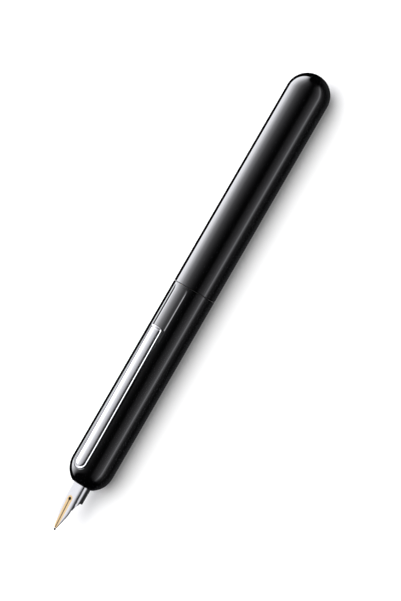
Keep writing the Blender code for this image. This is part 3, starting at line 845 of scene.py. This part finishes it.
def feed_body(material):
    """Ink feed: flat on top, round below, with comb slots across its underside."""
    sections = [(-10.8, 0.25, 1.05, 0.9), (-8.0, 1.1, 1.25, 0.5), (-5.0, 1.6, 1.4, -0.6)]
    sections += [(-2.0, 1.9, 1.35, -1.5), (0.0, 1.9, 1.2, -1.75), (24.2, 1.9, 1.2, -1.75)]

    def section_at(station):
        for lower, upper in zip(sections, sections[1:]):
            if station <= upper[0]:
                share = (station - lower[0]) / (upper[0] - lower[0])
                return [a + (b - a) * share for a, b in zip(lower, upper)]
        return sections[-1]

    slot_pitch, slot_depth = 0.7, 0.3
    stations = [-10.8, -10.0, -9.2, -8.6]
    for slot_index in range(9):
        start = -8.0 + slot_pitch * slot_index
        stations += [start, start + 0.02, start + 0.28, start + 0.3]
    stations += [0.0, 6.0, 12.0, 24.2]
    mesh = bmesh.new()
    rows = []
    steps = 28
    for station in stations:
        _, half_width, top, bottom = section_at(station)
        place_in_slot = (station + 8.0) % slot_pitch
        in_slot = -8.0 < station < -1.9 and 0.01 < place_in_slot < 0.29
        depth = slot_depth * min(1, (top - bottom) / 1.2) if in_slot else 0
        row = []
        for step in range(steps + 1):
            angle = math.pi * step / steps
            pull = 1 - depth / (top - bottom)
            height = top - (top - bottom) * math.sin(angle) * pull
            row.append(place(station * MM, (half_width - depth / 2) * math.cos(angle) * MM, height * MM))
        rows.append(row)
    grid(mesh, rows, wrap=True)
    cap(mesh, rows)
    return piece("feed_body", mesh, material, ["feed"], "nib_unit", sharp=30)


def nib_trough(material):
    """Bright trough round the feed: its lip is cut back underneath and runs forward to the shoulders."""
    steps = 60

    def side(radius, flat):
        first = math.asin(SLEEVE_TOP / radius)
        spots = []
        for step in range(steps + 1):
            angle = first - (math.pi + 2 * first) * step / steps
            height = max(radius * math.sin(angle), flat)
            flank = radius - SLEEVE_SHOULDER + (SLEEVE_TOP - height) * math.tan(SLEEVE_LEAN)
            y = radius * math.cos(angle)
            spots.append((math.copysign(min(abs(y), flank), y), height))
        return spots

    section = side(SLEEVE_RADIUS, SLEEVE_FLAT) + side(SLEEVE_INSIDE, SLEEVE_INNER_FLAT)[::-1]
    mesh = bmesh.new()
    rows = []
    for share in (0, 0.2, 0.4, 0.6, 0.8, 1.0):
        row = []
        for y, height in section:
            rise = max(0, height - SLEEVE_FLANK_START) / (SLEEVE_TOP - SLEEVE_FLANK_START)
            front = SLEEVE_LIP - SLEEVE_FLANK_REACH * rise
            station = front + (-4.5 * MM - front) * share
            below_nib = nib_crown(station) - NIB_ARCH - NIB_THICKNESS - 0.15 * MM
            row.append(place(station, y, min(height, below_nib)))
        rows.append(row)
    for station in (0.0, 15.2 * MM):
        rows.append([place(station, y, height) for y, height in section])
    grid(mesh, rows, wrap=True)
    for row in (rows[0], rows[-1]):
        spots = [mesh.verts.new(spot) for spot in row]
        half = len(spots) // 2
        for index in range(half - 1):
            mesh.faces.new((spots[index], spots[index + 1], spots[-index - 2], spots[-index - 1]))
    return piece("nib_trough", mesh, material, ["nib_sleeve"], "nib_unit", sharp=35)


# ---------------------------------------------------------------- studio


def studio_world():
    """Studio surroundings whose brightness depends on the direction only.

    Round the pen's length, a broad soft panel stands behind it and fades out overhead, and a weak strip lies
    low in front. Along the pen, both fade out smoothly towards its two ends.
    """
    world = bpy.data.worlds.new("studio")
    world.use_nodes = True
    bpy.context.scene.world = world
    nodes, links = world.node_tree.nodes, world.node_tree.links
    coordinates = nodes.new("ShaderNodeTexCoord")
    parts = nodes.new("ShaderNodeSeparateXYZ")
    links.new(coordinates.outputs["Generated"], parts.inputs["Vector"])

    def calc(operation, first, second=None):
        return maths(nodes, links, operation, first, second)

    turn = calc("ARCTAN2", parts.outputs["Z"], calc("MULTIPLY", parts.outputs["Y"], -1.0))
    share = nodes.new("ShaderNodeMapRange")
    share.inputs["From Min"].default_value = -math.pi
    share.inputs["From Max"].default_value = math.pi
    links.new(turn, share.inputs["Value"])
    panel = nodes.new("ShaderNodeValToRGB")
    links.new(share.outputs["Result"], panel.inputs["Fac"])
    brightest = 3.6
    # (angle in degrees: 0 in front of the pen, 90 overhead, 180 behind it; brightness)
    levels = [
        (-180, 0.0), (-125, 0.0), (-95, 0.05), (-68, 0.03), (-50, 0.01), (-36, 0.043), (-26, 0.06),
        (-22, 0.085), (-12, 0.42), (-9, 0.85), (-6, 0.85), (-3, 0.45), (1, 0.36), (12, 0.18), (22, 0.105),
        (32, 0.052), (39, 0.01), (44, 0.002), (52, 0.003), (62, 0.015), (72, 0.046), (82, 0.105),
        (92, 0.195), (103, 0.34), (114, 0.7), (126, 1.15), (139, 2.2), (154, 3.5), (171, 3.55),
        (178, 3.4), (180, 0.0),
    ]
    stops = panel.color_ramp.elements
    while len(stops) > 1:
        stops.remove(stops[-1])
    for index, (degrees, level) in enumerate(levels):
        stop = stops[0] if index == 0 else stops.new((degrees + 180) / 360)
        stop.position = (degrees + 180) / 360
        value = level / brightest
        stop.color = (0.975 * value, 0.98 * value, 1.03 * value, 1)
    flat = nodes.new("ShaderNodeCombineXYZ")
    links.new(parts.outputs["Y"], flat.inputs["Y"])
    links.new(parts.outputs["Z"], flat.inputs["Z"])
    around = nodes.new("ShaderNodeVectorMath")
    around.operation = "LENGTH"
    links.new(flat.outputs["Vector"], around.inputs[0])
    along = calc("DIVIDE", parts.outputs["X"], around.outputs["Value"])
    fades = []
    for start, end in (PANEL_FRONT_FADE, PANEL_REAR_FADE):
        fades.append(smooth_step(nodes, links, along, start, end, 1.0, 0.0))
    background = nodes["Background"]
    links.new(panel.outputs["Color"], background.inputs["Color"])
    links.new(calc("MULTIPLY", calc("MULTIPLY", *fades), brightest), background.inputs["Strength"])


def studio_floor():
    """White floor that doesn't show in reflections, so that the barrel's edges stay dark."""
    material, nodes, links = new_material("floor")
    shader = nodes["Principled BSDF"]
    grain = noise(nodes, links, texture_space(nodes, links, (1, 1, 1)), 60)
    links.new(tint(nodes, links, grain, (0.79, 0.79, 0.79), (0.81, 0.81, 0.81)), shader.inputs["Base Color"])
    shader.inputs["Roughness"].default_value = 0.9
    shader.inputs["Specular IOR Level"].default_value = 0.0
    shader.inputs["Emission Color"].default_value = (1, 1, 1, 1)
    shader.inputs["Emission Strength"].default_value = 0.2
    mesh = bmesh.new()
    bmesh.ops.create_grid(mesh, x_segments=8, y_segments=8, size=2.5)
    floor = piece("floor", mesh, material, None, None)
    floor.location.z = -0.0001
    floor.visible_glossy = False

    backdrop_material, nodes, links = new_material("backdrop")
    glow = nodes.new("ShaderNodeEmission")
    glow.inputs["Color"].default_value = (0.97, 0.97, 0.97, 1)
    links.new(glow.outputs["Emission"], nodes["Material Output"].inputs["Surface"])
    mesh = bmesh.new()
    bmesh.ops.create_uvsphere(mesh, u_segments=48, v_segments=24, radius=3.2)
    backdrop = piece("backdrop", mesh, backdrop_material, None, None)
    backdrop.visible_diffuse = False
    backdrop.visible_glossy = False
    backdrop.visible_transmission = False
    backdrop.visible_shadow = False


def studio_light():
    """Large soft light almost straight above, for the floor and the pen's soft shadow on it."""
    data = bpy.data.lights.new("soft_top", "AREA")
    data.shape = "RECTANGLE"
    data.size = 1.4
    data.size_y = 1.15
    data.energy = 14.4
    light = bpy.data.objects.new("soft_top", data)
    light.location = (0, 0.05, 1.0)
    light.visible_glossy = False
    light.visible_camera = False
    bpy.context.scene.collection.objects.link(light)


def camera():
    towards = Vector((0, math.cos(VIEW_ELEVATION), -math.sin(VIEW_ELEVATION)))
    across = Vector((0, -math.sin(VIEW_ELEVATION), -math.cos(VIEW_ELEVATION)))
    along = Vector((1, 0, 0))
    up = along * math.cos(VIEW_LEAN) - across * math.sin(VIEW_LEAN)
    right = along * math.sin(VIEW_LEAN) + across * math.cos(VIEW_LEAN)
    distance = FRAME_HEIGHT * CAMERA_LENS / SENSOR
    target = place(TARGET_STATION, 0, 0) + across * TARGET_ACROSS
    data = bpy.data.cameras.new("camera")
    data.lens = CAMERA_LENS
    data.sensor_width = SENSOR
    data.clip_start = 0.01
    data.clip_end = 20
    obj = bpy.data.objects.new("camera", data)
    turn = Matrix((right, up, -towards)).transposed()
    obj.matrix_world = Matrix.Translation(target - towards * distance) @ turn.to_4x4()
    bpy.context.scene.collection.objects.link(obj)
    bpy.context.scene.camera = obj
    bpy.context.scene.view_settings.view_transform = "Standard"


# ---------------------------------------------------------------- turned inner pieces


def grooves(start, end, radius, depth, pitch):
    """Points of evenly spaced V grooves along a turned surface."""
    points = []
    count = int((end - start) / pitch)
    for index in range(count):
        at = start + pitch * index
        points += [(at, radius), (at + pitch * 0.5, radius - depth)]
    points.append((start + pitch * count, radius))
    return points


def inner_pieces(brass, steel, silver, rubber, plastic, clear):
    """Turned pieces that show when the rear half is off or the shutter is seen through the mouth."""
    thread = grooves(67.0, 77.8, 5.3, 0.16, 0.6)
    collar = [(64.3, 5.05), (66.4, 5.05), (66.4, 5.3), *thread]
    collar += [(78.5, 5.3), (79.0, 4.9), (79.0, 4.15), (64.3, 4.15)]
    turned("drive_collar_thread", in_mm(collar), brass, ["drive_collar"], "cam", edge=0.03 * MM)
    insert_thread = [(s, 11.05 - r) for s, r in grooves(69.0, 79.0, 5.53, 0.02, 0.6)][::-1]
    insert = [(68.0, 5.75), (80.0, 5.75), (80.0, 5.52), *insert_thread, (68.0, 5.52)]
    turned("insert_thread", in_mm(insert), brass, ["barrel_insert"], "rear", 128, 0.02 * MM)
    # Painted shade: the joint washer is a real part, but its thin lip out to 6.72 mm fills the joint's gap
    # with black rubber that stands in for the gap's shade
    washer = [(66.23, 5.45), (66.23, 6.72), (66.37, 6.72), (66.37, 6.0), (67.15, 6.0), (67.15, 5.45)]
    turned("washer_ring", in_mm(washer), rubber, ["joint_washer"], "rear", 128, 0.03 * MM)
    seal = [(1.95, 3.62), (1.95, 4.12), (2.75, 4.12), (2.75, 3.62)]
    turned("mouth_ring", in_mm(seal), rubber, ["mouth_seal"], "front", 96, 0.2 * MM)
    tube_outline = [(33.3, 3.95), (62.0, 3.95), (62.0, 3.55), (33.3, 3.55)]
    turned("carriage_sleeve", in_mm(tube_outline), steel, ["carriage_tube"], "nib_unit")
    ink_tube = [(40.0, 3.1), (40.5, 3.4), (80.0, 3.4), (80.0, 2.9), (42.5, 2.9), (42.5, 1.25), (40.0, 1.25)]
    turned("ink_tube", in_mm(ink_tube), clear, ["converter_tube"], "nib_unit")
    ribs = grooves(82.0, 84.0, 3.5, 0.12, 0.5)
    collar = [(80.3, 1.15), (80.3, 3.5), *ribs, (91.0, 3.5), (91.0, 1.15)]
    band_nodes = ["converter_collar"]
    turned("converter_band", in_mm(collar), silver, band_nodes, "nib_unit", edge=0.06 * MM)
    body = [(55.0, 0.0), (55.0, 2.3), (55.4, 2.7), (56.5, 2.7), (56.5, 1.9)]
    body += [(58.6, 1.9), (58.6, 2.7), (60.0, 2.7), (60.0, 0.0)]
    turned("piston_body", in_mm(body), plastic, ["piston"], "piston", closed=False)
    seal = [(56.7, 2.05), (56.7, 2.6), (57.1, 2.78), (58.0, 2.78), (58.4, 2.6), (58.4, 2.05)]
    turned("piston_ring", in_mm(seal), rubber, ["piston_seal"], "piston", edge=0.12 * MM)
    screw = [(60.3, 0.0), (60.3, 0.9), *grooves(61.0, 99.0, 0.9, 0.12, 0.5), (101.0, 0.9), (101.0, 0.0)]
    outline = in_mm(screw)
    turned("piston_screw", outline, steel, ["piston_rod"], "piston", 40, 0.02 * MM, closed=False)


def ribbed_knob(plastic):
    """Converter knob with fine ribs along its sides."""
    outline = [(91.4, 1.1), (91.4, 2.9), (91.8, 3.2), (93.0, 3.2), (93.3, 3.2), (105.5, 3.2), (105.8, 3.2)]
    outline += [(107.2, 3.2), (108.0, 2.6), (108.0, 0.3), (107.6, 0.3), (104.0, 1.1)]
    spots = rounded([*outline, outline[0]], 0.12)
    rib_count, points_per_rib = 40, 6
    points_round = rib_count * points_per_rib
    mesh = bmesh.new()
    rows = []
    for station, radius in spots:
        ribbed = 93.2 < station < 105.6 and radius > 3.0
        row = []
        for index in range(points_round):
            wave = 0.5 + 0.5 * math.cos(TAU * index / points_per_rib)
            depth = 0.16 * (1 - wave) ** 2 if ribbed else 0
            row.append(on_round(station * MM, (radius - depth) * MM, TAU * index / points_round))
        rows.append(row)
    grid(mesh, rows, wrap=True)
    return piece("ribbed_knob", mesh, plastic, ["converter_knob"], "knob", sharp=50)


def keep_cad_nodes(brass, steel):
    """Hidden inner pieces keep their CAD shape and take a finished material."""
    finishes = {
        brass: ["clip_hinge_ring", "guide_ring", "cam_stop_ring", "ink_nipple", "cam_sleeve"],
        steel: [
            "shutter",
            "shutter_pin_left",
            "shutter_pin_right",
            "clip_hinge_pin",
            "clip_spring",
            "guide_tube",
            "nib_holder",
            "follower_pin_left",
            "follower_pin_right",
        ],
    }
    for material, names in finishes.items():
        for name in names:
            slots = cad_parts[name].data.materials
            if slots:
                slots[0] = material
            else:
                slots.append(material)


def main():
    camera()
    studio_world()
    studio_floor()
    studio_light()
    lacquer = lacquer_material()
    silver = plated_material("bright silver", (0.68, 0.68, 0.69))
    mirror = plated_material("mirror silver", (0.9, 0.9, 0.91), (0.05, 0.08), depth=0.02)
    brass = turned_metal_material("turned brass", (0.78, 0.58, 0.28))
    steel = turned_metal_material("turned steel", (0.62, 0.63, 0.64))
    rubber = plastic_material("black rubber", (0.012, 0.012, 0.012), (0.55, 0.7), 0.15)
    plastic = plastic_material("black plastic", (0.012, 0.012, 0.013))
    tip_metal = turned_metal_material("tip metal", (0.05, 0.04, 0.035), (0.25, 0.4))
    front_shell(lacquer)
    rear_shell(lacquer)
    clip_blade(silver)
    nib_plate(nib_material())
    writing_ball(tip_metal)
    feed_body(plastic)
    nib_trough(mirror)
    inner_pieces(brass, steel, silver, rubber, plastic, clear_material())
    ribbed_knob(plastic)
    keep_cad_nodes(brass, steel)


main()
